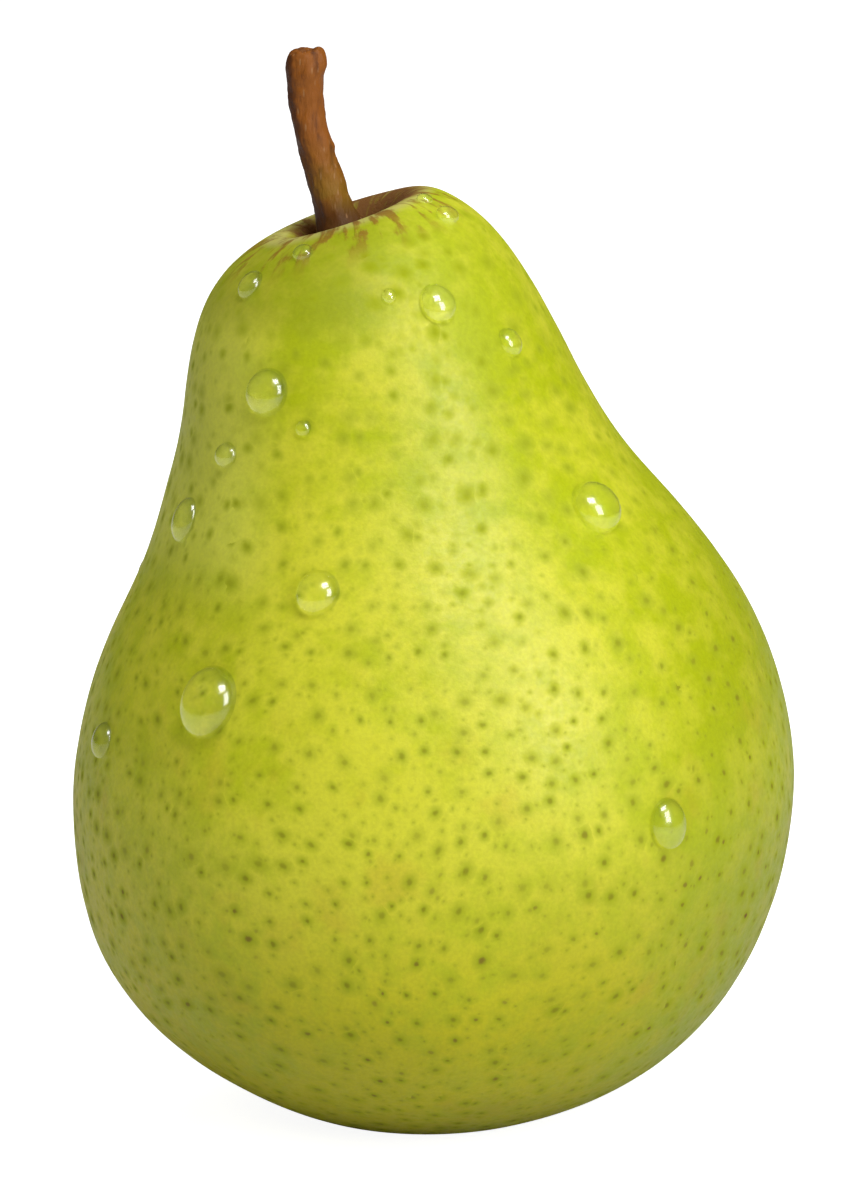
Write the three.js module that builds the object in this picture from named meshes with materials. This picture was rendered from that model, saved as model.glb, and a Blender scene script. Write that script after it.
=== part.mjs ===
// A whole pear: the fruit, its woody stem, the dried calyx in its base and drops of water on its skin.
// Millimetres, +Z up. The pear stands on the flat ring around its calyx basin, and -Y is its front.

import * as THREE from 'three';
import { mergeVertices } from 'three/addons/utils/BufferGeometryUtils.js';

// ---- Driving dimensions ----

const GAP = 0.3; // between pieces that touch
const FRUIT_SIDES = 60;
const STEM_SIDES = 16;
const TUFT_SIDES = 10;
const DROP_SIDES = 14;
const DROP_STEPS = 4; // from a drop's rim to its top
const STEPS_PER_RING = 2; // rings of vertices from one given ring to the next

const SKIN = { color: 0xc3c93e, roughness: 0.4 };
const BARK = { color: 0x8a4f1e, roughness: 0.7 };
const DRIED = { color: 0x4a3820, roughness: 0.85 };
const WATER = { color: 0xdfe9b0, roughness: 0.05 };

// Rings of the fruit's skin: [height, radius, centre x, rise towards +X for each mm].
// The basin runs from the middle of the calyx out to the foot.
const BASIN = [
  [6.0, 0, -0.8, 0],
  [5.6, 2.6, -0.8, 0],
  [4.2, 5.2, -0.8, 0],
  [1.8, 7.6, -0.8, 0],
  [0, 9.5, -0.8, 0],
];
// The body runs from the foot's outer edge over the belly and up the leaning neck to the crest.
const BODY = [
  [0, 13.2, -0.9, 0],
  [2, 18.1, -0.6, 0],
  [6, 24.8, -0.4, 0],
  [12, 31.4, -0.8, 0],
  [20, 35.9, -0.7, 0],
  [33, 38.3, 0, 0],
  [44, 37.0, 0.3, 0],
  [52, 34.1, 0.5, 0],
  [60, 29.8, -0.2, 0.02],
  [67, 25.4, -2.8, 0.05],
  [74, 21.8, -4.8, 0.08],
  [81, 19.6, -6.2, 0.1],
  [87, 17.3, -7.2, 0.13],
  [91.2, 14.7, -8.1, 0.2],
  [94.3, 11.3, -8.9, 0.29],
  [95.8, 8.0, -9.1, 0.35],
];
// The stem cavity runs from the crest down to the floor that the stem grows from.
const CAVITY = [
  [95.6, 6.4, -9.3, 0.35],
  [94.0, 4.7, -9.4, 0.32],
  [91.4, 3.8, -9.6, 0.3],
  [90.2, 2.0, -9.6, 0.3],
  [90.1, 0, -9.6, 0.3],
];
// Rings of the stem, from its foot in the cavity up to its swollen, cut end.
const STEM = [
  [90.6, 0, -9.5, 0.3],
  [90.7, 2.6, -9.5, 0.3],
  [94.5, 2.5, -9.9, 0.25],
  [98.0, 2.05, -10.9, 0.29],
  [101.5, 1.95, -11.9, 0.27],
  [105.0, 1.8, -12.8, 0.18],
  [108.5, 1.8, -13.3, 0.03],
  [111.3, 2.1, -13.2, -0.03],
  [112.8, 1.6, -13.1, -0.03],
  [113.2, 0, -13.0, -0.03],
];

// The dried calyx in the middle of the basin.
const CALYX_X = -0.8;
const SEPAL_COUNT = 5;
const SEPAL_LENGTH = 5;
const SEPAL_WIDTH = 3;
const SEPAL_THICKNESS = 0.5;
const SEPAL_ROOT_RADIUS = 1.6; // from the middle of the calyx to a sepal's root
const SEPAL_ROOT_HEIGHT = 4.6;
const SEPAL_DROOP = 30; // degrees below level
const SEPAL_CURL = 0.05; // how far the tip turns down, per mm of its length squared
const TUFT = [
  [2.4, 0, CALYX_X, 0],
  [2.2, 0.8, CALYX_X, 0],
  [2.6, 1.2, CALYX_X, 0],
  [4.0, 0.8, CALYX_X, 0],
  [5.5, 0.7, CALYX_X, 0],
  [5.6, 0, CALYX_X, 0],
];

// Drops of water: [bearing, rise, width, length]. Bearing and rise are degrees from the heart of the
// fruit to the drop, with bearing 0 to the front and positive towards +X. Length runs down the skin.
const HEART = new THREE.Vector3(-3, 0, 60);
const RAY_START = 200; // outside the fruit, from its heart
const DROP_HEIGHT_SHARE = 0.34; // of the width
const DROPS = [
  // the front, from the top down
  [24, 82.5, 1.8, 1.8],
  [34, 78, 2.9, 2.4],
  [-46, 66.5, 2.4, 2.2],
  [-5.5, 62, 1.7, 1.8],
  [13, 62, 4.0, 4.4],
  [-60, 58.5, 3.0, 3.4],
  [40.5, 56, 3.0, 3.2],
  [-40.5, 43, 4.8, 5.0],
  [-28, 37.5, 1.8, 1.8],
  [-51, 29.5, 3.0, 2.7],
  [48.5, 17, 6.0, 6.0],
  [-62.5, 13, 3.6, 4.8],
  [-18, 2.5, 4.7, 4.8],
  [-37, -17, 6.8, 7.8],
  [-66, -26.5, 3.4, 3.9],
  [41.5, -28.5, 4.4, 5.3],
  // the back, from the top down
  [150, 68, 2.2, 2.2],
  [-128, 60, 3.4, 3.6],
  [176, 44, 4.4, 4.8],
  [124, 34, 2.8, 3.0],
  [-150, 22, 2.0, 2.2],
  [132, 4, 5.4, 5.8],
  [-112, -8, 4.2, 4.8],
  [168, -20, 6.4, 7.2],
  [120, -26, 3.8, 4.4],
  [-140, -34, 3.2, 3.8],
];

// ---- Shapes ----

// Every value of the rings at equal steps along smooth curves through them.
function smoothRings(rings, steps) {
  const place = new THREE.CatmullRomCurve3(
    rings.map(([height, radius, x]) => new THREE.Vector3(radius, height, x)),
    false,
    'centripetal',
  );
  const rise = new THREE.CatmullRomCurve3(
    rings.map(([, , , slope], i) => new THREE.Vector3(i, slope, 0)),
    false,
    'centripetal',
  );
  const count = (rings.length - 1) * steps;
  return Array.from({ length: count + 1 }, (_, i) => {
    const at = place.getPoint(i / count);
    return [at.y, Math.max(at.x, 0), at.z, rise.getPoint(i / count).y];
  });
}

// A body turned on a lathe from rings that run from axis to axis, each then set off to one side and tilted.
function leaningLathe(rings, sides) {
  const profile = rings.map(([height, radius]) => new THREE.Vector2(radius, height));
  const turned = new THREE.LatheGeometry(profile, sides);
  turned.rotateX(Math.PI / 2);
  const places = turned.getAttribute('position');
  for (let i = 0; i < places.count; i += 1) {
    const [, , x, slope] = rings[i % rings.length];
    places.setXYZ(i, places.getX(i) + x, places.getY(i), places.getZ(i) + slope * places.getX(i));
  }
  turned.deleteAttribute('normal');
  turned.deleteAttribute('uv');
  const skin = mergeVertices(turned, 1e-4);
  skin.computeVertexNormals();
  return skin;
}

function piece(name, geometry, finish) {
  const mesh = new THREE.Mesh(geometry, new THREE.MeshStandardMaterial({ ...finish, metalness: 0 }));
  mesh.name = name;
  return mesh;
}

// A thin pointed leaf, lying along +Y from its root and curling down to its tip.
function sepalGeometry() {
  const outline = new THREE.Shape();
  outline.moveTo(-SEPAL_WIDTH / 4, 0);
  outline.quadraticCurveTo(-SEPAL_WIDTH / 2, SEPAL_LENGTH / 3, 0, SEPAL_LENGTH);
  outline.quadraticCurveTo(SEPAL_WIDTH / 2, SEPAL_LENGTH / 3, SEPAL_WIDTH / 4, 0);
  outline.closePath();
  const leaf = new THREE.ExtrudeGeometry(outline, {
    depth: SEPAL_THICKNESS,
    bevelEnabled: false,
    curveSegments: 6,
  });
  const places = leaf.getAttribute('position');
  for (let i = 0; i < places.count; i += 1) {
    places.setZ(i, places.getZ(i) - SEPAL_CURL * places.getY(i) ** 2);
  }
  return leaf;
}

// A flat-based dome of water, with its base a gap above z = 0 and its length along Y.
function dropGeometry(width, length) {
  const height = DROP_HEIGHT_SHARE * width;
  const dome = new THREE.QuadraticBezierCurve(
    new THREE.Vector2(width / 2, GAP),
    new THREE.Vector2(width / 2, GAP + height),
    new THREE.Vector2(0, GAP + height),
  );
  const profile = [new THREE.Vector2(0, GAP), ...dome.getPoints(DROP_STEPS)];
  const drop = new THREE.LatheGeometry(profile, DROP_SIDES);
  drop.rotateX(Math.PI / 2);
  drop.scale(1, length / width, 1);
  return drop;
}

// The way out from the middle, at a bearing from the front and a rise above level.
function wayOut(bearing, rise) {
  const turn = THREE.MathUtils.degToRad(bearing);
  const lift = THREE.MathUtils.degToRad(rise);
  return new THREE.Vector3(
    Math.sin(turn) * Math.cos(lift),
    -Math.cos(turn) * Math.cos(lift),
    Math.sin(lift),
  );
}

// ---- Pieces ----

const group = new THREE.Group();

const skinRings = [
  ...smoothRings(BASIN, STEPS_PER_RING),
  ...smoothRings([...BODY, ...CAVITY], STEPS_PER_RING),
];
const fruit = piece('fruit', leaningLathe(skinRings, FRUIT_SIDES), SKIN);
group.add(fruit);

group.add(piece('stem', leaningLathe(smoothRings(STEM, STEPS_PER_RING), STEM_SIDES), BARK));

group.add(piece('calyx_tuft', leaningLathe(TUFT, TUFT_SIDES), DRIED));

for (let i = 0; i < SEPAL_COUNT; i += 1) {
  const sepal = piece(`sepal_${i + 1}`, sepalGeometry(), DRIED);
  sepal.position.y = SEPAL_ROOT_RADIUS;
  sepal.rotation.x = -THREE.MathUtils.degToRad(SEPAL_DROOP);
  const root = new THREE.Group();
  root.position.set(CALYX_X, 0, SEPAL_ROOT_HEIGHT);
  root.rotation.z = (i / SEPAL_COUNT) * 2 * Math.PI;
  root.add(sepal);
  group.add(root);
}

// Each drop sits where a line from the heart of the fruit leaves the skin, facing out from it.
const fromOutside = new THREE.Raycaster();
DROPS.forEach(([bearing, rise, width, length], i) => {
  const out = wayOut(bearing, rise);
  fromOutside.set(HEART.clone().addScaledVector(out, RAY_START), out.clone().negate());
  const hit = fromOutside.intersectObject(fruit)[0];
  const across = new THREE.Vector3(0, 0, 1).cross(hit.normal).normalize();
  const uphill = hit.normal.clone().cross(across);
  const drop = piece(`drop_${String(i + 1).padStart(2, '0')}`, dropGeometry(width, length), WATER);
  drop.position.copy(hit.point);
  drop.quaternion.setFromRotationMatrix(new THREE.Matrix4().makeBasis(across, uphill, hit.normal));
  group.add(drop);
});

// The origin is the middle of the bottom of the whole part's box.
const box = new THREE.Box3().setFromObject(group, true);
group.position.set(-(box.min.x + box.max.x) / 2, -(box.min.y + box.max.y) / 2, -box.min.z);

export default group;
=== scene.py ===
"""A ripe green pear with its woody stem, the dried calyx in its base and drops of water on its skin."""

import math
import random

import bmesh
import bpy
from bpy.props import FloatProperty, FloatVectorProperty, IntProperty, PointerProperty
from bpy.types import Operator, Panel, PropertyGroup
from mathutils import Matrix, Vector
from mathutils.bvhtree import BVHTree


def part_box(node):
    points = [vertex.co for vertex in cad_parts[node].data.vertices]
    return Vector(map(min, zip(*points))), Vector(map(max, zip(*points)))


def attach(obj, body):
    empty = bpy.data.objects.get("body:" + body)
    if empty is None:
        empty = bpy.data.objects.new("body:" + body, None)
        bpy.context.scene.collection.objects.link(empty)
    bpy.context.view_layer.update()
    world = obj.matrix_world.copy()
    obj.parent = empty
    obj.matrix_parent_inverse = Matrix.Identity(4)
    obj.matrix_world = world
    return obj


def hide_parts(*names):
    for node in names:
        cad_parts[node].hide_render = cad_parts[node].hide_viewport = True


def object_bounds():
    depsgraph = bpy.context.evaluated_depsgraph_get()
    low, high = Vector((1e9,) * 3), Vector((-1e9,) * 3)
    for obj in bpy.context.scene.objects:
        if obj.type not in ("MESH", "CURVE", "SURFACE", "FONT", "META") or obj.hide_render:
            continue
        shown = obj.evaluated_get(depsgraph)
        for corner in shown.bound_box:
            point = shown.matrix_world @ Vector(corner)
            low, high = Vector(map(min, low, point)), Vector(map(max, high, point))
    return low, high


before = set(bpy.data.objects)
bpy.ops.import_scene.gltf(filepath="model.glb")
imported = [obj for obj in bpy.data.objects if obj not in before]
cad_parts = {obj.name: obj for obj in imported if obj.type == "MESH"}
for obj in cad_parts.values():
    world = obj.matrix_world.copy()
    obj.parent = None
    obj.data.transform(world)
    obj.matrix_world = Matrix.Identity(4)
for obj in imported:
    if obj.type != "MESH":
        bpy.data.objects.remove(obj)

bl_info = {
    "name": "Pear",
    "version": (1, 0, 0),
    "blender": (4, 5, 0),
    "location": "View3D > Sidebar > Pear",
    "description": "Models a pear with its stem, calyx and drops of water around its packed solids",
    "category": "Object",
}

MM = 0.001
BODY = "root"
CAD_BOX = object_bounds()
FRUIT_LOW, FRUIT_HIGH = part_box("fruit")
STEM_LOW, STEM_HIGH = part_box("stem")
DROP_NODES = sorted(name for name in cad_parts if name.startswith("drop_"))
SEPAL_NODES = sorted(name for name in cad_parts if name.startswith("sepal_"))

# The fruit's cage, from the middle of the calyx basin out over the foot and belly, up the neck and down
# into the stem cavity. Each ring: height and radius as shares of the fruit's height and half width,
# shift to the side as a share of the half width, and tilt in degrees.
FRUIT_RINGS = (
    (0.058, 0.05, -0.01, 0),
    (0.047, 0.12, -0.01, 0),
    (0.022, 0.19, -0.01, 0),
    (0.005, 0.23, -0.01, 0),
    (0.000, 0.27, -0.01, 0),
    (0.000, 0.33, -0.01, 0),
    (0.009, 0.40, -0.01, 0),
    (0.030, 0.52, 0.00, 0),
    (0.071, 0.68, 0.00, 0),
    (0.132, 0.83, -0.01, 0),
    (0.203, 0.94, -0.01, 0),
    (0.274, 0.99, 0.00, 0),
    (0.345, 1.00, 0.01, 0),
    (0.416, 0.98, 0.02, 0),
    (0.487, 0.93, 0.02, 0),
    (0.558, 0.85, 0.02, 1),
    (0.629, 0.74, -0.02, 2),
    (0.700, 0.64, -0.08, 3),
    (0.771, 0.55, -0.12, 5),
    (0.832, 0.51, -0.15, 6),
    (0.882, 0.45, -0.17, 7),
    (0.918, 0.40, -0.19, 10),
    (0.943, 0.34, -0.21, 14),
    (0.961, 0.27, -0.22, 17),
    (0.972, 0.21, -0.23, 19),
    (0.968, 0.16, -0.23, 19),
    (0.956, 0.13, -0.24, 18),
    (0.937, 0.11, -0.24, 17),
    (0.922, 0.08, -0.24, 17),
    (0.915, 0.04, -0.24, 17),
)
FRUIT_SIDES = 44
# Soft relief of the skin: name, size and depth in millimetres. It fades in above the foot, from a height
# and over a rise in millimetres, so that the pear stands flat.
FRUIT_RELIEF = (("Growth", 22, 0.7), ("Dimples", 6, 0.12))
RELIEF_START = 1.0
RELIEF_RISE = 6.0
SKIN_SWELL = 0.15  # how far the skin is pushed out above the foot, in millimetres

ABOVE_FOOT = "above the foot"
PAINTED_RIM_SHADE = "upper rim"
SKIN_CURVE = 32.0  # a typical radius of the skin, in millimetres

# Two layers of dots on the skin: spacing as a share of the setting, and radius of the halo and the core in
# millimetres. Their places are shifted by two noises: scale, detail and reach in millimetres.
DOT_LAYERS = ((1.0, 1.25, 0.46), (0.66, 0.74, 0.26))
DOT_SHIFTS = ((0.06, 0.0, 4.0), (1.6, 1.0, 0.28))

# The stem's rings, from inside the flesh up to the cut end: height and shift as shares of the stem's box,
# radius in millimetres, and tilt in degrees.
STEM_RINGS = (
    (-0.06, 0.70, 2.8, 17),
    (0.05, 0.70, 3.0, 17),
    (0.13, 0.67, 2.7, 16),
    (0.22, 0.62, 2.2, 16),
    (0.32, 0.55, 2.0, 16),
    (0.42, 0.465, 1.9, 16),
    (0.52, 0.38, 1.84, 15),
    (0.61, 0.315, 1.8, 12),
    (0.70, 0.26, 1.8, 8),
    (0.79, 0.235, 1.87, 3),
    (0.87, 0.235, 2.05, 0),
    (0.93, 0.245, 2.18, -2),
    (0.975, 0.25, 2.0, -2),
    (0.995, 0.26, 1.4, -2),
    (0.985, 0.26, 0.7, -2),
)
STEM_SIDES = 20
# Bumps and hollows pulled out of the stem: height and shift as shares of its box, millimetres to the front,
# how far it is pulled, and out to what reach, both in millimetres.
STEM_PULLS = (
    (1.0, 0.38, 0.5, (0.15, 0.0, 0.35), 1.3),  # the cut end: higher on the right
    (1.0, 0.08, 0.3, (-0.15, 0.0, -0.3), 1.2),
    (1.0, 0.21, 0.8, (0.0, 0.2, -0.35), 0.7),
    (0.93, 0.47, 0.6, (0.15, -0.1, 0.0), 1.4),
    (0.57, 0.66, 0.2, (0.4, 0.0, -0.1), 0.7),  # a bud scar on the right
    (0.74, 0.02, 0.2, (-0.2, 0.0, 0.1), 0.9),
    (0.15, 1.0, 0.6, (4.6, -0.5, -2.4), 3.3),  # the flared foot
    (0.04, 0.42, 1.0, (-0.8, -0.2, -0.3), 2.4),
    (0.05, 0.75, 2.6, (0.0, -0.5, -0.2), 2.4),
    (0.05, 0.75, -2.6, (0.0, 0.5, -0.2), 2.4),
)
STEM_RELIEF = (("Knots", 1.8, 0.35), ("Bark", 0.5, 0.1))

# The sepal's root: width, length and distance from the middle of the calyx, and height in the frame, all
# in millimetres. Then its steps outwards: length of the step, narrowing, and drop.
SEPAL_ROOT = (1.5, 0.8, 1.9)
SEPAL_HEIGHT = 4.9
SEPAL_THICKNESS = 0.35
SEPAL_REACH = 6.0  # from the middle of the calyx to a tip
SEPAL_STEPS = (
    (1.0, 1.35, -0.25),
    (1.0, 0.95, -0.5),
    (0.9, 0.75, -0.8),
    (0.7, 0.6, -0.9),
    (0.3, 0.35, -0.8),
)
# The tuft's rings from its lower end up: share of its height, and radius in millimetres.
TUFT_RINGS = ((0.0, 0.3), (0.03, 0.8), (0.15, 1.15), (0.35, 1.0), (0.6, 0.8), (0.95, 0.75), (1.0, 0.3))
TUFT_SIDES = 12
TUFT_ABOVE = 0.6  # how far the tuft rises above its solid, in millimetres

# A drop starts as a ball of radius 1, cut off this far under its middle.
DROP_BASE = -0.25
DROP_SAG = 0.2  # how far its top slips downhill on an upright skin

GOLDEN_BARK = (0.26, 0.145, 0.008, 1)
BARK_SPECK = (0.42, 0.22, 0.09, 1)
DRIED_DARK = (0.03, 0.018, 0.008, 1)
DRIED_LIGHT = (0.13, 0.085, 0.04, 1)
CLEAR = (1, 1, 1, 1)
# painted shade along the upper rim of a drop
WATER_RIM_SHADE = (0.58, 0.64, 0.36, 1)
WATER_SHADE = (0.46, 0.48, 0.34, 1)  # what is left of light that crosses a drop

# Soft boxes: name, bearing from the front and rise in degrees, width and height in metres, watts, and
# whether the skin mirrors it.
LAMPS = (
    ("key", 39, 26, (0.38, 0.56), 5.25, True),
    ("top", 20, 59, (0.44, 0.34), 5.2, True),
    ("left", -85, 38, (0.35, 0.5), 1.15, False),
    ("rim", 140, 40, (0.4, 0.4), 0.8, False),
    ("back", 185, 42, (0.6, 0.4), 3.2, False),
)
WORLD_LIGHT = 0.05
FLOOR_RADIUS = 6  # metres
SENSOR = 36  # millimetres of the camera's sensor, along its longer side
VIEW_HEIGHT = 126.5  # millimetres that the view takes in at the pear
AIM = (-0.63, 0, 5.5)  # from the middle of the fruit to where the camera looks, in millimetres


# ---- Settings ----


class PearFruitSettings(PropertyGroup):
    """The fruit's skin."""

    yellow: FloatVectorProperty(
        name="Ripe yellow",
        description="Skin where it has ripened most",
        subtype="COLOR",
        default=(0.71, 0.705, 0.038),
        min=0,
        max=1,
    )
    green: FloatVectorProperty(
        name="Green",
        description="Skin where it is still green",
        subtype="COLOR",
        default=(0.50, 0.57, 0.004),
        min=0,
        max=1,
    )
    gold: FloatVectorProperty(
        name="Gold",
        description="Skin low on the belly and under it",
        subtype="COLOR",
        default=(0.66, 0.62, 0.003),
        min=0,
        max=1,
    )
    # painted sheen: this pale colour is a painted reflection of a light from the left, on the -X side of the
    # neck
    pale: FloatVectorProperty(
        name="Pale",
        description="Paler skin on one side of the neck",
        subtype="COLOR",
        default=(0.80, 0.82, 0.10),
        min=0,
        max=1,
    )
    blush: FloatVectorProperty(
        name="Blush",
        description="Faint rusty patches on the belly",
        subtype="COLOR",
        default=(0.60, 0.42, 0.02),
        min=0,
        max=1,
    )
    halo: FloatVectorProperty(
        name="Dot halo",
        description="Soft green ring around each dot on the skin",
        subtype="COLOR",
        default=(0.37, 0.425, 0.0),
        min=0,
        max=1,
    )
    core: FloatVectorProperty(
        name="Dot core",
        description="Dark middle of each dot on the skin",
        subtype="COLOR",
        default=(0.235, 0.21, 0.0),
        min=0,
        max=1,
    )
    russet: FloatVectorProperty(
        name="Russet",
        description="Brown, corky skin around the stem and the calyx",
        subtype="COLOR",
        default=(0.19, 0.078, 0.014),
        min=0,
        max=1,
    )
    tan: FloatVectorProperty(
        name="Tan",
        description="Thin, golden russet further from the stem",
        subtype="COLOR",
        default=(0.30, 0.16, 0.008),
        min=0,
        max=1,
    )
    # partly the cavity rim's own pale tan, partly a painted highlight on it
    lip_and_highlight: FloatVectorProperty(
        name="Lip",
        description="Pale skin round the stem's cavity",
        subtype="COLOR",
        default=(0.66, 0.56, 0.22),
        min=0,
        max=1,
    )
    dot_spacing: FloatProperty(
        name="Dot spacing",
        description="Distance from one dot to the next",
        subtype="DISTANCE",
        unit="LENGTH",
        default=3.0 * MM,
        min=0.5 * MM,
    )


class PearStemSettings(PropertyGroup):
    """The stem."""

    light: FloatVectorProperty(
        name="Light bark",
        description="Smooth bark on the stem's ridges",
        subtype="COLOR",
        default=(0.29, 0.09, 0.009),
        min=0,
        max=1,
    )
    # also used as painted shade on the stem's -X side and at its foot
    dark: FloatVectorProperty(
        name="Dark bark",
        description="Bark in the stem's hollows",
        subtype="COLOR",
        default=(0.075, 0.02, 0.005),
        min=0,
        max=1,
    )


class PearWaterSettings(PropertyGroup):
    """The drops of water."""

    fill: FloatProperty(
        name="Drop height",
        description="Height of a drop as a share of its width",
        default=0.37,
        min=0.1,
        max=0.5,
    )
    seed: IntProperty(name="Seed", description="Varies the outlines of the drops", default=7)


class PearStageSettings(PropertyGroup):
    """The floor, the lights and the camera."""

    elevation: FloatProperty(
        name="View elevation",
        description="How far the camera looks down on the pear",
        subtype="ANGLE",
        unit="ROTATION",
        default=math.radians(12),
    )
    distance: FloatProperty(
        name="View distance",
        description="From the camera to the pear",
        subtype="DISTANCE",
        unit="LENGTH",
        default=0.6,
    )
    floor: FloatVectorProperty(
        name="Floor",
        description="Colour of the floor",
        subtype="COLOR",
        default=(0.6, 0.6, 0.6),
        min=0,
        max=1,
    )
    glow: FloatProperty(
        name="Floor glow",
        description="How much the floor's own light whitens it",
        default=0.92,
        min=0,
    )


# ---- Modelling helpers ----


def clear_selection():
    """Leaves edit mode and deselects everything."""
    if bpy.context.object and bpy.context.object.mode != "OBJECT":
        bpy.ops.object.mode_set(mode="OBJECT")
    bpy.ops.object.select_all(action="DESELECT")


def pick(piece):
    """Makes piece the only selected object, and active."""
    clear_selection()
    piece.select_set(True)
    bpy.context.view_layer.objects.active = piece


def finish_with(piece, kind, **settings):
    """Adds a modifier with these settings to piece and applies it."""
    pick(piece)
    modifier = piece.modifiers.new(kind.title(), kind)
    for name, value in settings.items():
        setattr(modifier, name, value)
    bpy.ops.object.modifier_apply(modifier=modifier.name)


def copy_of(node):
    """A merged copy of a CAD node, to measure and shape against."""
    pick(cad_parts[node])
    bpy.ops.object.duplicate()
    copy = bpy.context.object
    copy.parent = None
    bpy.ops.object.mode_set(mode="EDIT")
    bpy.ops.mesh.select_all(action="SELECT")
    bpy.ops.mesh.remove_doubles(threshold=0.001 * MM)
    bpy.ops.object.mode_set(mode="OBJECT")
    return copy


def discard(piece):
    """Removes a helper object and its mesh."""
    mesh = piece.data
    bpy.data.objects.remove(piece)
    bpy.data.meshes.remove(mesh)


def loft(name, sides, rings):
    """A closed skin through rings, given as (centre, radius, tilt), by extruding each ring from the last."""
    clear_selection()
    centre, radius, tilt = rings[0]
    bpy.ops.mesh.primitive_circle_add(vertices=sides, radius=radius, location=centre)
    piece = bpy.context.object
    piece.name = piece.data.name = name
    bpy.ops.object.transform_apply(location=True, rotation=True, scale=True)
    bpy.ops.object.mode_set(mode="EDIT")
    bpy.ops.mesh.select_all(action="SELECT")
    bpy.ops.transform.rotate(value=tilt, orient_axis="Y", center_override=centre)
    bpy.ops.mesh.edge_face_add()
    bpy.ops.mesh.poke()
    bpy.ops.mesh.select_mode(type="VERT")
    bpy.ops.mesh.select_all(action="DESELECT")
    mesh = bmesh.from_edit_mesh(piece.data)
    for vertex in mesh.verts:
        vertex.select = vertex.is_boundary
    mesh.select_flush_mode()
    bmesh.update_edit_mesh(piece.data)
    for (last_centre, last_radius, last_tilt), (centre, radius, tilt) in zip(rings, rings[1:]):
        bpy.ops.mesh.extrude_edges_move(TRANSFORM_OT_translate={"value": centre - last_centre})
        share = radius / last_radius
        bpy.ops.transform.resize(value=(share, share, share), center_override=centre)
        bpy.ops.transform.rotate(value=tilt - last_tilt, orient_axis="Y", center_override=centre)
    bpy.ops.mesh.edge_face_add()
    bpy.ops.mesh.poke()
    bpy.ops.mesh.select_all(action="SELECT")
    bpy.ops.mesh.normals_make_consistent(inside=False)
    bpy.ops.object.mode_set(mode="OBJECT")
    return piece


def soft_relief(piece, name, size, depth, group=""):
    """Raises and sinks the surface by a soft cloud pattern of this size and depth, in millimetres."""
    clouds = bpy.data.textures.new(name, "CLOUDS")
    clouds.noise_scale = size * MM
    clouds.noise_depth = 1
    finish_with(
        piece,
        "DISPLACE",
        texture=clouds,
        texture_coords="LOCAL",
        strength=depth * MM,
        mid_level=0.5,
        vertex_group=group,
    )
    bpy.data.textures.remove(clouds)


def pull(piece, place, move, reach):
    """Moves the vertex nearest to place, and less and less the ones around it, out to reach."""
    pick(piece)
    bpy.ops.object.mode_set(mode="EDIT")
    bpy.ops.mesh.select_mode(type="VERT")
    bpy.ops.mesh.select_all(action="DESELECT")
    mesh = bmesh.from_edit_mesh(piece.data)
    min(mesh.verts, key=lambda vertex: (vertex.co - place).length_squared).select = True
    mesh.select_flush_mode()
    bmesh.update_edit_mesh(piece.data)
    bpy.ops.transform.translate(
        value=move,
        use_proportional_edit=True,
        proportional_edit_falloff="SMOOTH",
        proportional_size=reach,
    )
    bpy.ops.object.mode_set(mode="OBJECT")


def box_middle(node):
    """The middle of a CAD node's box."""
    low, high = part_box(node)
    return (low + high) / 2


def spread(points, way):
    """How far the points reach along a direction, from end to end."""
    along = [point.dot(way) for point in points]
    return max(along) - min(along)


def within(value, low, high):
    """The share from 0 to 1 that value has reached from low to high."""
    return min(max((value - low) / (high - low), 0.0), 1.0)


def place_in_frame(piece, slot, *nodes):
    """Rides piece on the pear's body, shaded smooth, in place of its CAD nodes; the slot it is given is not
    used.
    """
    pick(piece)
    bpy.ops.object.shade_smooth()
    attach(piece, BODY)
    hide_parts(*nodes)


# ---- Material helpers ----


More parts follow.
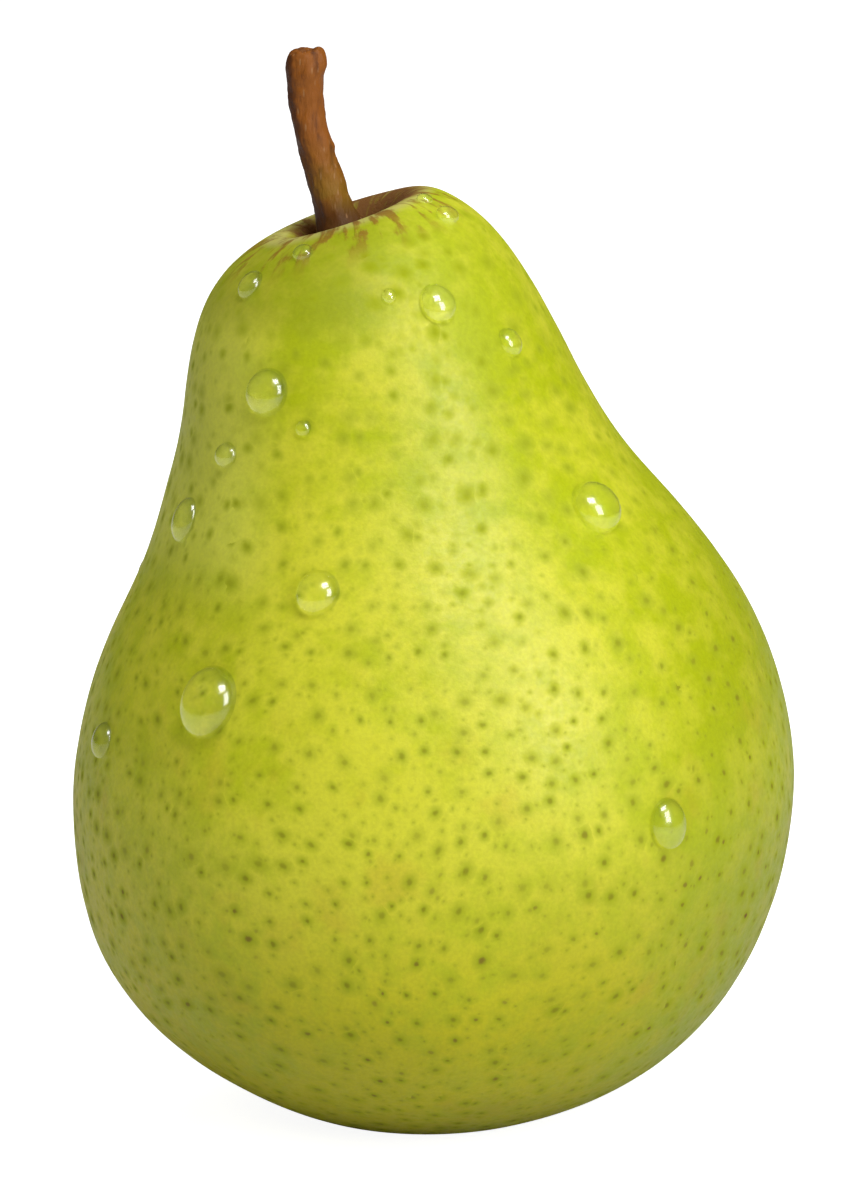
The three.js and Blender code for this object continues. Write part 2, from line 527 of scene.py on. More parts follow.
class Nodes:
    """Adds nodes to a node tree and links them, with sockets given as values or as other nodes' outputs."""

    def __init__(self, tree):
        self.tree = tree

    def add(self, kind, inputs=None, **settings):
        node = self.tree.nodes.new(kind)
        for name, value in settings.items():
            setattr(node, name, value)
        for socket, value in (inputs or {}).items():
            self.set(node.inputs[socket], value)
        return node

    def set(self, socket, value):
        if isinstance(value, bpy.types.NodeSocket):
            self.tree.links.new(value, socket)
        else:
            socket.default_value = value

    def math(self, operation, first, second=0.0):
        node = self.add("ShaderNodeMath", {0: first, 1: second}, operation=operation)
        return node.outputs[0]

    def total(self, *values):
        """The sum of all values."""
        result, *others = values
        for other in others:
            result = self.math("ADD", result, other)
        return result

    def product(self, *values):
        """The product of all values."""
        result, *others = values
        for other in others:
            result = self.math("MULTIPLY", result, other)
        return result

    def vector(self, operation, first, second=None, scale=None):
        node = self.add("ShaderNodeVectorMath", {0: first}, operation=operation)
        if second is not None:
            self.set(node.inputs[1], second)
        if scale is not None:
            self.set(node.inputs["Scale"], scale)
        return node.outputs["Value" if operation in ("DOT_PRODUCT", "LENGTH") else "Vector"]

    def fade(self, value, low, high, to_low=0.0, to_high=1.0):
        """A smooth step of value from low to high."""
        node = self.add(
            "ShaderNodeMapRange",
            {"Value": value, "From Min": low, "From Max": high, "To Min": to_low, "To Max": to_high},
            interpolation_type="SMOOTHSTEP",
        )
        return node.outputs["Result"]

    def mix(self, share, first, second, blend="MIX"):
        node = self.add("ShaderNodeMix", data_type="RGBA", blend_type=blend)
        self.set(node.inputs["Factor"], share)
        self.set(node.inputs["A"], first)
        self.set(node.inputs["B"], second)
        return node.outputs["Result"]

    def millimetres(self):
        """The place in the frame, in millimetres."""
        place = self.add("ShaderNodeTexCoord").outputs["Object"]
        return self.vector("SCALE", place, scale=1 / MM)

    def normal(self):
        """The way the surface faces."""
        return self.add("ShaderNodeTexCoord").outputs["Normal"]

    def split(self, vector):
        return self.add("ShaderNodeSeparateXYZ", {"Vector": vector}).outputs

    def join(self, x, y, z):
        return self.add("ShaderNodeCombineXYZ", {"X": x, "Y": y, "Z": z}).outputs["Vector"]

    def noise(self, vector, scale, detail=2.0, roughness=0.5):
        node = self.add(
            "ShaderNodeTexNoise",
            {"Vector": vector, "Scale": scale, "Detail": detail, "Roughness": roughness},
        )
        return node.outputs["Fac"]


def new_material(name, **shader_values):
    """A material with its Principled shader set, and helpers for its nodes."""
    material = bpy.data.materials.new(name)
    material.use_nodes = True
    shader = material.node_tree.nodes["Principled BSDF"]
    for socket, value in shader_values.items():
        shader.inputs[socket.replace("_", " ")].default_value = value
    return material, Nodes(material.node_tree), shader


def add_relief(n, shader, height, depth):
    """Bumps in the shading, as deep as height times depth in millimetres."""
    bump = n.add("ShaderNodeBump", {"Height": height, "Distance": depth * MM, "Strength": 1.0})
    n.set(shader.inputs["Normal"], bump.outputs["Normal"])


def new_group(name, inputs, outputs):
    """An empty node group with these sockets, and helpers for its nodes."""
    group = bpy.data.node_groups.new(name, "ShaderNodeTree")
    for way, sockets in (("INPUT", inputs), ("OUTPUT", outputs)):
        for socket, kind in sockets.items():
            group.interface.new_socket(socket, in_out=way, socket_type="NodeSocket" + kind)
    return group, Nodes(group)


def plane_dots_group():
    """Node group: the nearest dot of a skin seen along Z, where the skin faces Z more than X or Y."""
    group, n = new_group(
        "Skin dots along Z",
        {"Place": "Vector", "Normal": "Vector", "Spacing": "Float"},
        {"Distance": "Float", "Chance": "Color"},
    )
    given = n.add("NodeGroupInput").outputs
    facing = n.split(given["Normal"])
    side = n.math("SIGN", facing["Z"])
    # the two faces across Z take their dots from places 140 mm apart, so that they differ
    shifted = n.vector("ADD", given["Place"], n.join(n.product(side, 70.0), 0.0, 0.0))
    cells = n.vector("SCALE", shifted, scale=n.math("DIVIDE", 1.0, given["Spacing"]))
    dots = n.add(
        "ShaderNodeTexVoronoi",
        {"Vector": cells, "Scale": 1.0, "Randomness": 0.85},
        voronoi_dimensions="2D",
    )
    aside = n.vector("SUBTRACT", dots.outputs["Position"], cells)
    aside = n.split(n.vector("SCALE", aside, scale=given["Spacing"]))
    # the dot lies on the skin, so its height follows from the skin's slope
    along = n.total(n.product(aside["X"], facing["X"]), n.product(aside["Y"], facing["Y"]))
    steep = n.product(side, n.math("MAXIMUM", n.math("ABSOLUTE", facing["Z"]), 0.3))
    away = n.join(aside["X"], aside["Y"], n.product(n.math("DIVIDE", along, steep), -1.0))
    there = n.vector("ADD", given["Normal"], n.vector("SCALE", away, scale=1 / SKIN_CURVE))
    there = n.split(n.vector("ABSOLUTE", there))
    chosen = n.math("GREATER_THAN", there["Z"], n.math("MAXIMUM", there["X"], there["Y"]))
    # a dot that another axis draws is put out of sight, 9 mm further off
    passed = n.product(n.math("SUBTRACT", 1.0, chosen), 9.0)
    distance = n.total(n.vector("LENGTH", away), passed)
    n.add("NodeGroupOutput", {"Distance": distance, "Chance": dots.outputs["Color"]})
    return group


def dots_group():
    """Node group: evenly spread round dots on a skin, each with a soft halo and a small core."""
    group, n = new_group(
        "Skin dots",
        {
            "Place": "Vector",
            "Normal": "Vector",
            "Spacing": "Float",
            "Halo radius": "Float",
            "Core radius": "Float",
        },
        {"Halo": "Float", "Core": "Float", "Tint": "Float"},
    )
    plane = plane_dots_group()
    given = n.add("NodeGroupInput").outputs
    place, facing = n.split(given["Place"]), n.split(given["Normal"])
    distance = chance = None
    for axes in ("YZX", "XZY", "XYZ"):
        seen = n.add(
            "ShaderNodeGroup",
            {
                "Place": n.join(*(place[axis] for axis in axes)),
                "Normal": n.join(*(facing[axis] for axis in axes)),
                "Spacing": given["Spacing"],
            },
            node_tree=plane,
        ).outputs
        if distance is None:
            distance, chance = seen["Distance"], seen["Chance"]
        else:
            nearer = n.math("LESS_THAN", seen["Distance"], distance)
            chance = n.mix(nearer, chance, seen["Chance"])
            distance = n.math("MINIMUM", distance, seen["Distance"])
    chance = n.add("ShaderNodeSeparateColor", {"Color": chance}).outputs
    size = n.fade(chance["Red"], 0.0, 1.0, 0.65, 1.15)
    halo = n.fade(distance, 0.0, n.product(given["Halo radius"], size), 1.0, 0.0)
    edge = n.product(given["Core radius"], size)
    core = n.fade(distance, n.product(edge, 0.25), edge, 1.0, 0.0)
    strength = n.fade(chance["Green"], 0.0, 1.0, 0.5, 1.0)
    n.add(
        "NodeGroupOutput",
        {
            "Halo": n.product(halo, strength),
            "Core": n.product(core, strength),
            "Tint": chance["Blue"],
        },
    )
    return group


def skin_ground(n, place, at, mottle, settings):
    """Ripe and green patches, greener up the neck and towards +X, which is partly painted shading, with a
    painted sheen on the -X side of the neck. Heights and sides are millimetres.
    """
    patches = n.fade(n.noise(place, 0.06, 3.0, 0.55), 0.35, 0.65, -0.1, 0.5)
    # greener towards +X: partly the skin's own green, partly painted shade on that side
    side = n.fade(at["X"], 12.0, 36.0, 0.0, 0.75)
    neck = n.fade(at["Z"], 30.0, 90.0, -0.1, 0.42)
    flecks = n.fade(mottle, 0.32, 0.68, -0.32, 0.32)
    stretched = n.vector("MULTIPLY", place, (0.1, 0.1, 0.36))
    smears = n.fade(n.noise(stretched, 1.0, 3.0), 0.5, 0.7, 0.0, 0.4)
    smears = n.product(smears, n.fade(at["Z"], 38.0, 55.0))
    ripe = n.mix(n.fade(at["Z"], 42.0, 14.0), (*settings.yellow, 1), (*settings.gold, 1))
    colour = n.mix(n.total(patches, side, neck, flecks, smears), ripe, (*settings.green, 1))
    # painted sheen: a pale patch on the -X side of the neck, a painted reflection of a light from the left
    painted_sheen = n.product(
        n.fade(at["X"], -14.0, -22.0),
        n.fade(at["Z"], 56.0, 66.0),
        n.fade(at["Z"], 92.0, 82.0, 0.0, 0.8),
    )
    colour = n.mix(painted_sheen, colour, (*settings.pale, 1))
    blush = n.fade(n.noise(place, 0.11, 3.0, 0.6), 0.55, 0.72, 0.0, 0.3)
    return n.mix(n.product(blush, n.fade(at["Z"], 62.0, 40.0)), colour, (*settings.blush, 1))


def skin_painted_shade(n, place, at):
    """Painted shading, as the share of its colour the skin keeps: less at the foot, up the neck, towards +X,
    low on that side and on the left shoulder, with a fine random grain.
    """
    low_side = n.product(n.fade(at["X"], 2.0, 14.0), n.fade(at["Z"], 44.0, 26.0))
    shoulder = n.product(n.fade(at["X"], 2.0, -12.0), n.fade(at["Z"], 83.0, 89.0))
    # painted shade factors: up the neck, at the foot, towards +X, low on that side, a fine random grain, and
    # the left shoulder
    return n.product(
        n.fade(at["Z"], 60.0, 90.0, 1.0, 0.94),
        n.fade(at["Z"], 0.0, 30.0, 0.84, 1.0),
        n.fade(at["X"], 14.0, 36.0, 1.0, 0.84),
        n.fade(low_side, 0.0, 1.0, 1.0, 0.93),
        n.fade(n.noise(place, 2.2, 2.0, 0.6), 0.3, 0.7, 0.95, 1.04),  # grain
        n.fade(shoulder, 0.0, 1.0, 1.0, 0.78),
    )


def skin_dots(n, place, at, dot_spacing):
    """Where the dots' halos and cores are, big and small, and a chance value for each big dot."""
    moved = place
    for scale, detail, reach in DOT_SHIFTS:
        noise = n.add("ShaderNodeTexNoise", {"Vector": place, "Scale": scale, "Detail": detail})
        shift = n.vector("SUBTRACT", noise.outputs["Color"], (0.5, 0.5, 0.5))
        moved = n.vector("ADD", moved, n.vector("SCALE", shift, scale=reach))
    normal = n.normal()
    width = n.total(n.fade(at["Z"], 40.0, 75.0, 1.0, 1.15), n.fade(at["Z"], 50.0, 30.0, 0.0, 0.15))
    dots = dots_group()
    layers = []
    for share, halo_radius, core_radius in DOT_LAYERS:
        inputs = {
            "Place": moved,
            "Normal": normal,
            "Spacing": dot_spacing / MM * share,
            "Halo radius": n.product(width, halo_radius),
            "Core radius": core_radius,
        }
        layers.append(n.add("ShaderNodeGroup", inputs, node_tree=dots).outputs)
    big, small = layers
    halo = n.math("MAXIMUM", big["Halo"], n.product(small["Halo"], 0.45))
    core = n.math("MAXIMUM", big["Core"], n.product(small["Core"], 0.4))
    return halo, core, big["Tint"]


def skin_russet(n, place, at, mottle):
    """Russet round the stem's foot, in streaks below it and round the calyx, with the distance from the stem
    and where the skin belongs to the top."""
    around = n.vector("SUBTRACT", place, tuple(value / MM for value in cavity_seat()))
    parts = n.split(around)
    flat = n.join(parts["X"], parts["Y"], 0.0)
    reach = n.vector("LENGTH", flat)
    top = n.fade(at["Z"], 82.0, 87.0)
    rays = n.vector("SCALE", n.vector("NORMALIZE", flat), scale=6.0)
    rays = n.vector("ADD", rays, n.vector("SCALE", around, scale=0.14))
    streak = n.total(n.noise(rays, 1.0, 3.0, 0.55), n.product(n.noise(place, 0.55, 3.0, 0.6), 0.5))
    streaks = n.product(n.fade(streak, 0.72, 0.86), n.fade(reach, 14.0, 10.0, 0.0, 0.9))
    sheltered = n.product(n.total(parts["X"], parts["Y"]), 0.16)
    ragged = n.math("SUBTRACT", n.total(reach, n.product(mottle, 5.0)), sheltered)
    collar = n.product(n.fade(ragged, 10.5, 8.0), n.fade(streak, 0.5, 0.75, 0.55, 1.0))
    out = n.vector("LENGTH", n.join(at["X"], at["Y"], 0.0))
    base = n.fade(n.total(out, n.product(mottle, 8.0)), 8.0, 14.0, 0.9, 0.0)
    base = n.product(base, n.fade(at["Z"], 3.0, 8.0, 1.0, 0.0))
    russet = n.math("MAXIMUM", n.product(n.math("MAXIMUM", streaks, collar), top), base)
    return russet, reach, top


def skin_material(settings):
    """Waxy green skin with mottling, two sizes of dots, russet around the stem and the calyx, and painted
    shading, sheen and highlight.
    """
    material, n, shader = new_material(
        "Pear skin",
        Subsurface_Weight=0.12,
        Subsurface_Scale=0.003,
        IOR=1.45,
        Specular_IOR_Level=0.5,
    )
    shader.inputs["Subsurface Radius"].default_value = (1.0, 0.8, 0.15)
    place = n.millimetres()
    at = n.split(place)
    mottle = n.noise(place, 0.3, 4.0, 0.6)
    colour = skin_ground(n, place, at, mottle, settings)
    # painted shade: the skin darkened at the foot, up the neck, towards +X, low on that side and on the left
    # shoulder, with a fine random grain
    painted_shade = skin_painted_shade(n, place, at)
    colour = n.mix(1.0, colour, n.join(painted_shade, painted_shade, painted_shade), "MULTIPLY")

    # dots: a green halo and a dark core, rusty in a few dots low on the fruit
    halo, core, chance = skin_dots(n, place, at, settings.dot_spacing)
    colour = n.mix(n.product(halo, 0.95), colour, (*settings.halo, 1))
    rusty = n.product(n.fade(chance, 0.8, 0.85), n.fade(at["Z"], 50.0, 25.0))
    core_colour = n.mix(rusty, (*settings.core, 1), (*settings.russet, 1))
    clear = n.total(n.fade(at["Z"], 78.0, 28.0, 0.1, 0.68), n.fade(at["X"], 16.0, 32.0, 0.0, 0.3))
    colour = n.mix(n.product(core, clear), colour, core_colour)

    # russet, and a pale tan band round the cavity, partly painted highlight
    russet, reach, top = skin_russet(n, place, at, mottle)
    lip_and_highlight = n.product(n.fade(reach, 5.5, 6.8), n.fade(reach, 9.5, 8.0, 0.0, 0.5), top)
    colour = n.mix(lip_and_highlight, colour, (*settings.lip_and_highlight, 1))
    corky = n.mix(n.fade(reach, 6.5, 9.5), (*settings.russet, 1), (*settings.tan, 1))
    n.set(shader.inputs["Base Color"], n.mix(russet, colour, corky))

    # wax: nearly even, rougher at the top, on dots and on russet, and broken by fine pores
    wax = n.fade(n.noise(place, 1.6, 3.0), 0.3, 0.7, 0.37, 0.48)
    matt = n.math("MAXIMUM", n.product(russet, 0.25), n.product(halo, 0.35))
    n.set(shader.inputs["Roughness"], n.total(wax, n.fade(at["Z"], 78.0, 90.0, 0.0, 0.15), matt))
    pores = n.noise(place, 3.2, 3.0, 0.6)
    dimples = n.noise(place, 0.5, 2.0)
    relief = n.total(n.product(pores, 0.02), n.product(dimples, 0.05), n.product(russet, pores, 0.12))
    add_relief(n, shader, relief, 1.0)
    return material


def bark_material(settings):
    """Brown stem bark, streaked along the stem, with small pale specks, golden below, and darkened as painted
    shading on its -X side and at its foot in the cavity.
    """
    material, n, shader = new_material("Stem bark", IOR=1.45, Specular_IOR_Level=0.35)
    dark, light = (*settings.dark, 1), (*settings.light, 1)
    place = n.millimetres()
    height = n.split(place)["Z"]
    along = n.vector("MULTIPLY", place, (1.0, 1.0, 0.25))
    streak = n.noise(along, 0.9, 4.0, 0.6)
    patch = n.noise(place, 0.35, 2.0)
    colour = n.mix(n.fade(streak, 0.28, 0.5, 0.25, 1.0), dark, light)
    golden = n.product(n.fade(height, 105.0, 96.0), n.fade(patch, 0.3, 0.6, 0.3, 0.85))
    colour = n.mix(golden, colour, GOLDEN_BARK)
    # painted shade: the side of the stem facing -X, away from the key light, darkened
    facing = n.split(n.normal())["X"]
    colour = n.mix(n.fade(facing, -0.2, -0.95, 0.0, 0.8), colour, dark)
    # painted shade: the stem's foot, down in the cavity, darkened
    colour = n.mix(n.fade(height, 98.5, 95.5, 0.0, 0.8), colour, dark)
    specks = n.add("ShaderNodeTexVoronoi", {"Vector": along, "Scale": 1.4}).outputs["Distance"]
    colour = n.mix(n.fade(specks, 0.08, 0.2, 0.5, 0.0), colour, BARK_SPECK)
    n.set(shader.inputs["Base Color"], colour)
    n.set(shader.inputs["Roughness"], n.fade(patch, 0.3, 0.7, 0.38, 0.6))
    fine = n.noise(along, 3.5, 4.0, 0.65)
    add_relief(n, shader, n.total(n.product(streak, 0.25), n.product(fine, 0.08)), 1.0)
    return material


def dried_material():
    """Dark, papery brown of the dried calyx."""
    material, n, shader = new_material("Dried calyx", Roughness=0.85)
    fleck = n.noise(n.millimetres(), 1.2, 4.0, 0.65)
    n.set(shader.inputs["Base Color"], n.mix(n.fade(fleck, 0.35, 0.65), DRIED_DARK, DRIED_LIGHT))
    add_relief(n, shader, fleck, 0.3)
    return material


def water_material():
    """Clear water that lets the lamps light the skin under it, tinted darker along each drop's upper rim as
    painted shading.
    """
    material, n, shader = new_material(
        "Water",
        Roughness=0.09,
        IOR=1.333,
        Transmission_Weight=1.0,
        Coat_Weight=1.0,
        Coat_Roughness=0.2,
        Coat_IOR=1.75,
    )
    # painted shade: the water's colour darkened along each drop's upper rim
    rim = n.add("ShaderNodeAttribute", attribute_name=PAINTED_RIM_SHADE).outputs["Fac"]
    n.set(shader.inputs["Base Color"], n.mix(rim, CLEAR, WATER_RIM_SHADE))
    in_shadow = n.add("ShaderNodeLightPath").outputs["Is Shadow Ray"]
    clear = n.add("ShaderNodeBsdfTransparent", {"Color": WATER_SHADE})
    surface = n.add("ShaderNodeMixShader", {0: in_shadow, 1: shader.outputs[0], 2: clear.outputs[0]})
    n.set(material.node_tree.nodes["Material Output"].inputs["Surface"], surface.outputs[0])
    return material


# ---- Pieces ----


def fruit_point(height, shift):
    """A point on the fruit's middle plane, from shares of its height and half width."""
    half = (FRUIT_HIGH.x - FRUIT_LOW.x) / 2
    middle = (FRUIT_HIGH + FRUIT_LOW) / 2
    return Vector(
        (middle.x + shift * half, middle.y, FRUIT_LOW.z + height * (FRUIT_HIGH.z - FRUIT_LOW.z))
    )


def stem_point(height, shift):
    """A point on the stem's middle plane, from shares of its box."""
    size = STEM_HIGH - STEM_LOW
    return Vector(
        (STEM_LOW.x + shift * size.x, (STEM_LOW.y + STEM_HIGH.y) / 2, STEM_LOW.z + height * size.z)
    )


def cavity_seat():
    """Where the stem meets the floor of its cavity."""
    return stem_point(0.0, 0.74)


class PEAR_OT_fruit(Operator):
    """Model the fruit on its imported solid, with its skin"""

    bl_idname = "pear.fruit"
    bl_label = "Fruit"

    def execute(self, context):
        half = (FRUIT_HIGH.x - FRUIT_LOW.x) / 2
        rings = [
            (fruit_point(height, shift), radius * half, math.radians(tilt))
            for height, radius, shift, tilt in FRUIT_RINGS
        ]
        fruit = loft("pear_fruit", FRUIT_SIDES, rings)
        solid = copy_of("fruit")
        finish_with(fruit, "SUBSURF", levels=1, render_levels=1)
        finish_with(fruit, "SHRINKWRAP", target=solid, wrap_method="NEAREST_SURFACEPOINT")
        finish_with(fruit, "SMOOTH", factor=0.5, iterations=3)
        finish_with(fruit, "SUBSURF", levels=2, render_levels=2)
        discard(solid)
        above_foot = fruit.vertex_groups.new(name=ABOVE_FOOT)
        for vertex in fruit.data.vertices:
            weight = within(vertex.co.z / MM, RELIEF_START, RELIEF_START + RELIEF_RISE)
            above_foot.add([vertex.index], weight, "REPLACE")
        for name, size, depth in FRUIT_RELIEF:
            soft_relief(fruit, name, size, depth, ABOVE_FOOT)
        finish_with(fruit, "DISPLACE", strength=SKIN_SWELL * MM, mid_level=0.0, vertex_group=ABOVE_FOOT)
        fruit.data.materials.append(skin_material(context.scene.pear_fruit))
        place_in_frame(fruit, "skin", "fruit")
        return {"FINISHED"}


class PEAR_OT_stem(Operator):
    """Model the stem, from inside the flesh up to its swollen, cut end"""

    bl_idname = "pear.stem"
    bl_label = "Stem"

    def execute(self, context):
        rings = [
            (stem_point(height, shift), radius * MM, math.radians(tilt))
            for height, shift, radius, tilt in STEM_RINGS
        ]
        stem = loft("pear_stem", STEM_SIDES, rings)
        finish_with(stem, "SUBSURF", levels=2, render_levels=2)
        for height, shift, front, move, reach in STEM_PULLS:
            place = stem_point(height, shift) - Vector((0, front * MM, 0))
            pull(stem, place, Vector(move) * MM, reach * MM)
        finish_with(stem, "SUBSURF", levels=1, render_levels=1)
        for name, size, depth in STEM_RELIEF:
            soft_relief(stem, name, size, depth)
        stem.data.materials.append(bark_material(context.scene.pear_stem))
        place_in_frame(stem, "stem_bark", "stem")
        return {"FINISHED"}


class PEAR_OT_calyx(Operator):
    """Model the dried sepals and the tuft between them, in the basin under the fruit"""

    bl_idname = "pear.calyx"
    bl_label = "Calyx"

    def execute(self, context):
        if not SEPAL_NODES:
            raise RuntimeError("The calyx has no sepals to follow")
        dried = dried_material()
        heart = box_middle("calyx_tuft")
        model = self.sepal()
        for number, node in enumerate(SEPAL_NODES):
            pick(model)
            bpy.ops.object.duplicate()
            sepal = bpy.context.object
            sepal.name = sepal.data.name = f"pear_{node}"
            way = box_middle(node) - heart
            turn = Matrix.Rotation(math.atan2(-way.x, way.y), 4, "Z")
            sepal.matrix_world = Matrix.Translation((heart.x, heart.y, SEPAL_HEIGHT * MM)) @ turn
            pick(sepal)
            bpy.ops.object.transform_apply(location=True, rotation=True, scale=True)
            # each tip is bent to one side, straight on, or to the other side
            tip = Vector((heart.x, heart.y, 0)) + way.normalized() * SEPAL_REACH * MM
            bend = 0.5 - number % 3 * 0.5
            pull(sepal, tip, Vector((way.y, -way.x, 0)).normalized() * bend * MM, 4 * MM)
            soft_relief(sepal, "Crumple", 1.3, 0.5)
            sepal.data.materials.append(dried)
            place_in_frame(sepal, "dried_calyx", node)
        discard(model)
        self.tuft(dried)
        return {"FINISHED"}

    def sepal(self):
        """One dried sepal, from its root near the middle out along Y, curling down towards its tip."""
        clear_selection()
        bpy.ops.mesh.primitive_plane_add(size=1, location=(0, 0, 0))
        sepal = bpy.context.object
        sepal.name = "sepal model"
        width, length, out = SEPAL_ROOT
        bpy.ops.object.mode_set(mode="EDIT")
        bpy.ops.mesh.select_all(action="SELECT")
        bpy.ops.transform.resize(value=(width * MM, length * MM, 1))
        bpy.ops.transform.translate(value=(0, out * MM, 0))
        bpy.ops.mesh.select_mode(type="EDGE")
        bpy.ops.mesh.select_all(action="DESELECT")
        mesh = bmesh.from_edit_mesh(sepal.data)
        for edge in mesh.edges:
            edge.select = all(vertex.co.y > out * MM for vertex in edge.verts)
        bmesh.update_edit_mesh(sepal.data)
        for step, narrowing, curl in SEPAL_STEPS:
            bpy.ops.mesh.extrude_edges_move(TRANSFORM_OT_translate={"value": (0, step * MM, 0)})
            bpy.ops.transform.resize(value=(narrowing, 1, 1))
            bpy.ops.transform.translate(value=(0, 0, curl * MM))
        bpy.ops.mesh.select_all(action="SELECT")
        bpy.ops.mesh.subdivide(number_cuts=2)
        bpy.ops.object.mode_set(mode="OBJECT")
        finish_with(sepal, "SOLIDIFY", thickness=SEPAL_THICKNESS * MM, offset=0)
        finish_with(sepal, "SUBSURF", levels=2, render_levels=2)
        return sepal

    def tuft(self, dried):
        """The dried stamens and style between the sepals, as one shaggy knot."""
        low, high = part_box("calyx_tuft")
        heart = box_middle("calyx_tuft")
        rise = high.z + TUFT_ABOVE * MM - low.z
        rings = [
            (Vector((heart.x, heart.y, low.z + share * rise)), radius * MM, 0.0)
            for share, radius in TUFT_RINGS
        ]
        tuft = loft("pear_tuft", TUFT_SIDES, rings)
        finish_with(tuft, "SUBSURF", levels=3, render_levels=3)
        soft_relief(tuft, "Shag", 0.5, 0.7)
        tuft.data.materials.append(dried)
        place_in_frame(tuft, "dried_calyx", "calyx_tuft")


class PEAR_OT_drops(Operator):
    """Model one drop of water, and seat a copy of it, each a little different, at each drop's place"""

    bl_idname = "pear.drops"
    bl_label = "Drops"

    def execute(self, context):
        settings = context.scene.pear_water
        if "pear_fruit" not in bpy.data.objects:
            raise RuntimeError("The drops sit on the fruit, which isn't there yet")
        chance = random.Random(settings.seed)
        water = water_material()
        fruit = bpy.data.objects["pear_fruit"]
        skin = BVHTree.FromObject(fruit, context.evaluated_depsgraph_get())
        model = self.dome()
        for node in DROP_NODES:
            pick(model)
            bpy.ops.object.duplicate()
            drop = bpy.context.object
            drop.name = drop.data.name = f"water_{node}"
            self.seat(drop, node, skin, settings.fill, chance)
            drop.data.materials.append(water)
            place_in_frame(drop, "water", node)
        discard(model)
        return {"FINISHED"}

    def dome(self):
        """A dome of radius 1, with its base a little under the skin and its upper rim marked for painted
        shading.
        """
        clear_selection()
        bpy.ops.mesh.primitive_ico_sphere_add(subdivisions=5, radius=1)
        dome = bpy.context.object
        dome.name = "drop model"
        bpy.ops.object.mode_set(mode="EDIT")
        bpy.ops.mesh.select_all(action="SELECT")
        bpy.ops.mesh.bisect(
            plane_co=(0, 0, DROP_BASE),
            plane_no=(0, 0, -1),
            clear_outer=True,
            use_fill=True,
        )
        bpy.ops.object.mode_set(mode="OBJECT")
        # painted shade: strongest at the rim on the drop's upper side
        rim = dome.data.attributes.new(PAINTED_RIM_SHADE, "FLOAT", "POINT")
        for vertex, painted_shade in zip(dome.data.vertices, rim.data):
            x, y, _ = vertex.co
            edge = within(math.hypot(x, y), 0.6, 0.95)
            upper = within(0.5 * x + 0.75 * y, -0.45, 0.55)
            painted_shade.value = edge * edge * upper
        return dome

    def seat(self, drop, node, skin, fill, chance):
        """Sags and varies the dome, and fits it to its node's place, width and length on the skin."""
        place, normal, _, _ = skin.find_nearest(box_middle(node))
        if place is None:
            raise RuntimeError(f"{node} has no skin under it")
        across = Vector((0, 0, 1)).cross(normal).normalized()
        uphill = normal.cross(across)
        corners = [vertex.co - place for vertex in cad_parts[node].data.vertices]
        width, length = spread(corners, across), spread(corners, uphill)
        slope = 1 - abs(normal.z)
        pull(drop, Vector((0, 0, 1)), Vector((0, -DROP_SAG * slope, 0)), 1.9)
        for _ in range(3):
            turn = chance.uniform(0, 2 * math.pi)
            edge = Vector((math.cos(turn), math.sin(turn), 0))
            pull(drop, edge, edge * chance.uniform(-0.07, 0.06), 1.5)
        seated = Matrix((across, uphill, normal)).transposed().to_4x4()
        size = Matrix.Diagonal((width / 2, length / 2, fill * width, 1))
        drop.matrix_world = Matrix.Translation(place) @ seated @ size
        pick(drop)
        bpy.ops.object.transform_apply(location=True, rotation=True, scale=True)


# ---- Stage ----


def soft_box(name, bearing, rise, size, power, mirrored):
    """A soft box on a metre's radius round the pear, at a bearing from its front and a rise above level."""
    turn, lift = math.radians(bearing), math.radians(rise)
    out = Vector((math.sin(turn) * math.cos(lift), -math.cos(turn) * math.cos(lift), math.sin(lift)))
    lamp = bpy.data.lights.new(name, "AREA")
    lamp.shape = "RECTANGLE"
    lamp.size, lamp.size_y = size
    lamp.energy = power
    box = bpy.data.objects.new(name, lamp)
    box.location = (Vector(CAD_BOX[0]) + Vector(CAD_BOX[1])) / 2 + out
    box.rotation_euler = (-out).to_track_quat("-Z", "Y").to_euler()
    box.visible_glossy = mirrored
    bpy.context.scene.collection.objects.link(box)


def floor_material(colour, glow):
    """Pale paper, lit evenly from below as far as the camera sees."""
    material, n, shader = new_material("Floor", Roughness=0.9, Emission_Strength=1.0)
    shader.inputs["Base Color"].default_value = (*colour, 1)
    seen = n.add("ShaderNodeLightPath").outputs["Is Camera Ray"]
    n.set(shader.inputs["Emission Color"], n.mix(seen, (0, 0, 0, 1), (glow, glow, glow, 1)))
    return material


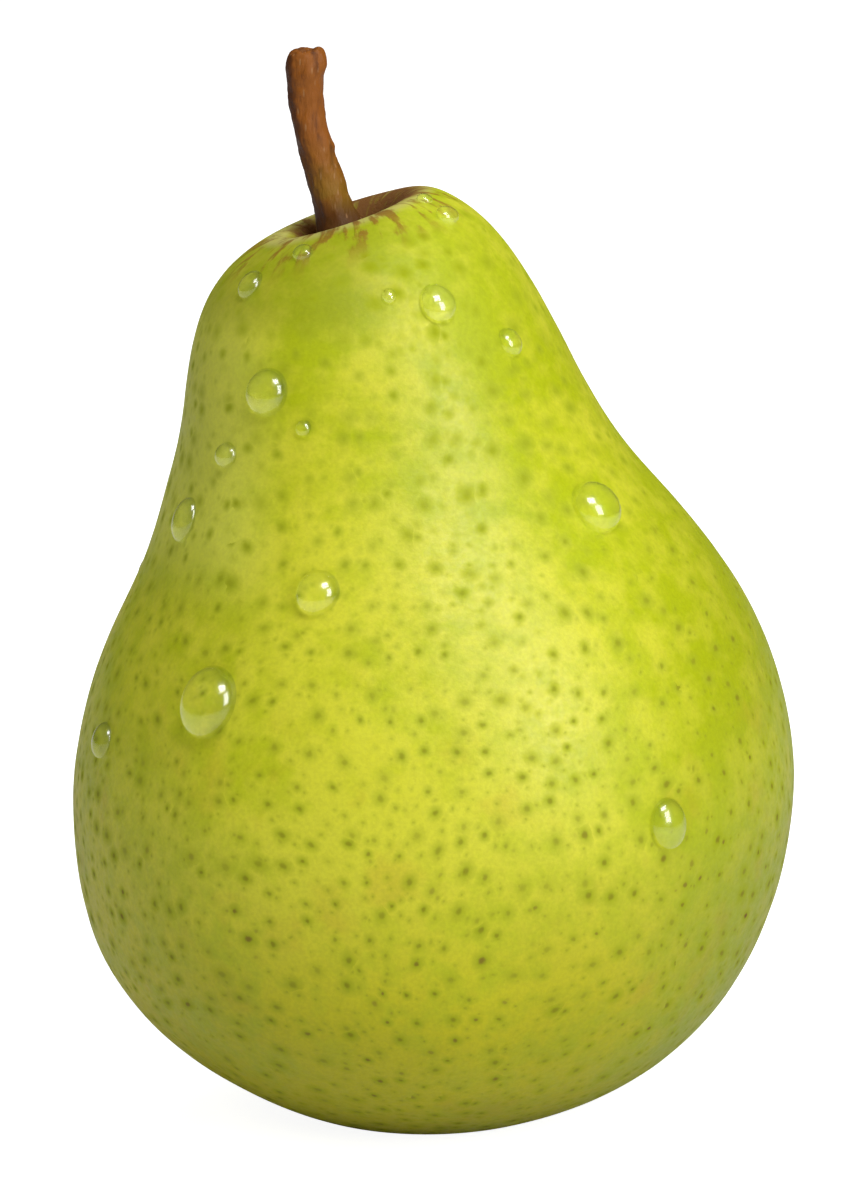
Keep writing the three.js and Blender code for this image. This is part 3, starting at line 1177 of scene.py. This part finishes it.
class PEAR_OT_stage(Operator):
    """Lay the floor, set the lights and place the camera"""

    bl_idname = "pear.stage"
    bl_label = "Stage"

    def execute(self, context):
        settings = context.scene.pear_stage
        clear_selection()
        bpy.ops.mesh.primitive_circle_add(
            vertices=64,
            radius=FLOOR_RADIUS,
            fill_type="NGON",
            location=(0, 0, 0),
        )
        floor = bpy.context.object
        floor.name = floor.data.name = "floor"
        floor.data.materials.append(floor_material(settings.floor, settings.glow))
        for lamp in LAMPS:
            soft_box(*lamp)

        world = bpy.data.worlds.new("Studio")
        world.use_nodes = True
        sky = world.node_tree.nodes["Background"].inputs
        sky["Color"].default_value = (1, 1, 1, 1)
        sky["Strength"].default_value = WORLD_LIGHT
        context.scene.world = world

        lens = bpy.data.cameras.new("camera")
        lens.sensor_width = SENSOR
        lens.sensor_fit = "AUTO"
        lens.lens = SENSOR * settings.distance / (VIEW_HEIGHT * MM)
        lens.clip_start = 0.01
        lens.clip_end = 50
        camera = bpy.data.objects.new("camera", lens)
        back = Vector((0, -math.cos(settings.elevation), math.sin(settings.elevation)))
        target = (FRUIT_LOW + FRUIT_HIGH) / 2 + Vector(AIM) * MM
        camera.location = target + settings.distance * back
        camera.rotation_euler = (math.pi / 2 - settings.elevation, 0, 0)
        context.scene.collection.objects.link(camera)
        context.scene.camera = camera
        context.scene.view_settings.view_transform = "Standard"
        return {"FINISHED"}


class PEAR_PT_panel(Panel):
    """Lists the pear's pieces, in the order in which they are made"""

    bl_idname = "PEAR_PT_panel"
    bl_label = "Pear"
    bl_space_type = "VIEW_3D"
    bl_region_type = "UI"
    bl_category = "Pear"

    def draw(self, context):
        for operator in OPERATORS:
            self.layout.operator(operator.bl_idname)
        for name, settings in SETTINGS.items():
            column = self.layout.column()
            for setting in settings.__annotations__:
                column.prop(getattr(context.scene, name), setting)


SETTINGS = {
    "pear_fruit": PearFruitSettings,
    "pear_stem": PearStemSettings,
    "pear_water": PearWaterSettings,
    "pear_stage": PearStageSettings,
}
OPERATORS = (PEAR_OT_fruit, PEAR_OT_stem, PEAR_OT_calyx, PEAR_OT_drops, PEAR_OT_stage)


def register():
    for one in (*SETTINGS.values(), *OPERATORS, PEAR_PT_panel):
        bpy.utils.register_class(one)
    for name, settings in SETTINGS.items():
        setattr(bpy.types.Scene, name, PointerProperty(type=settings))


def unregister():
    for name in SETTINGS:
        delattr(bpy.types.Scene, name)
    for one in (PEAR_PT_panel, *reversed(OPERATORS), *reversed(SETTINGS.values())):
        bpy.utils.unregister_class(one)


def main():
    register()
    bpy.ops.pear.fruit()
    bpy.ops.pear.stem()
    bpy.ops.pear.calyx()
    bpy.ops.pear.drops()
    bpy.ops.pear.stage()


if __name__ == "__main__":
    main()
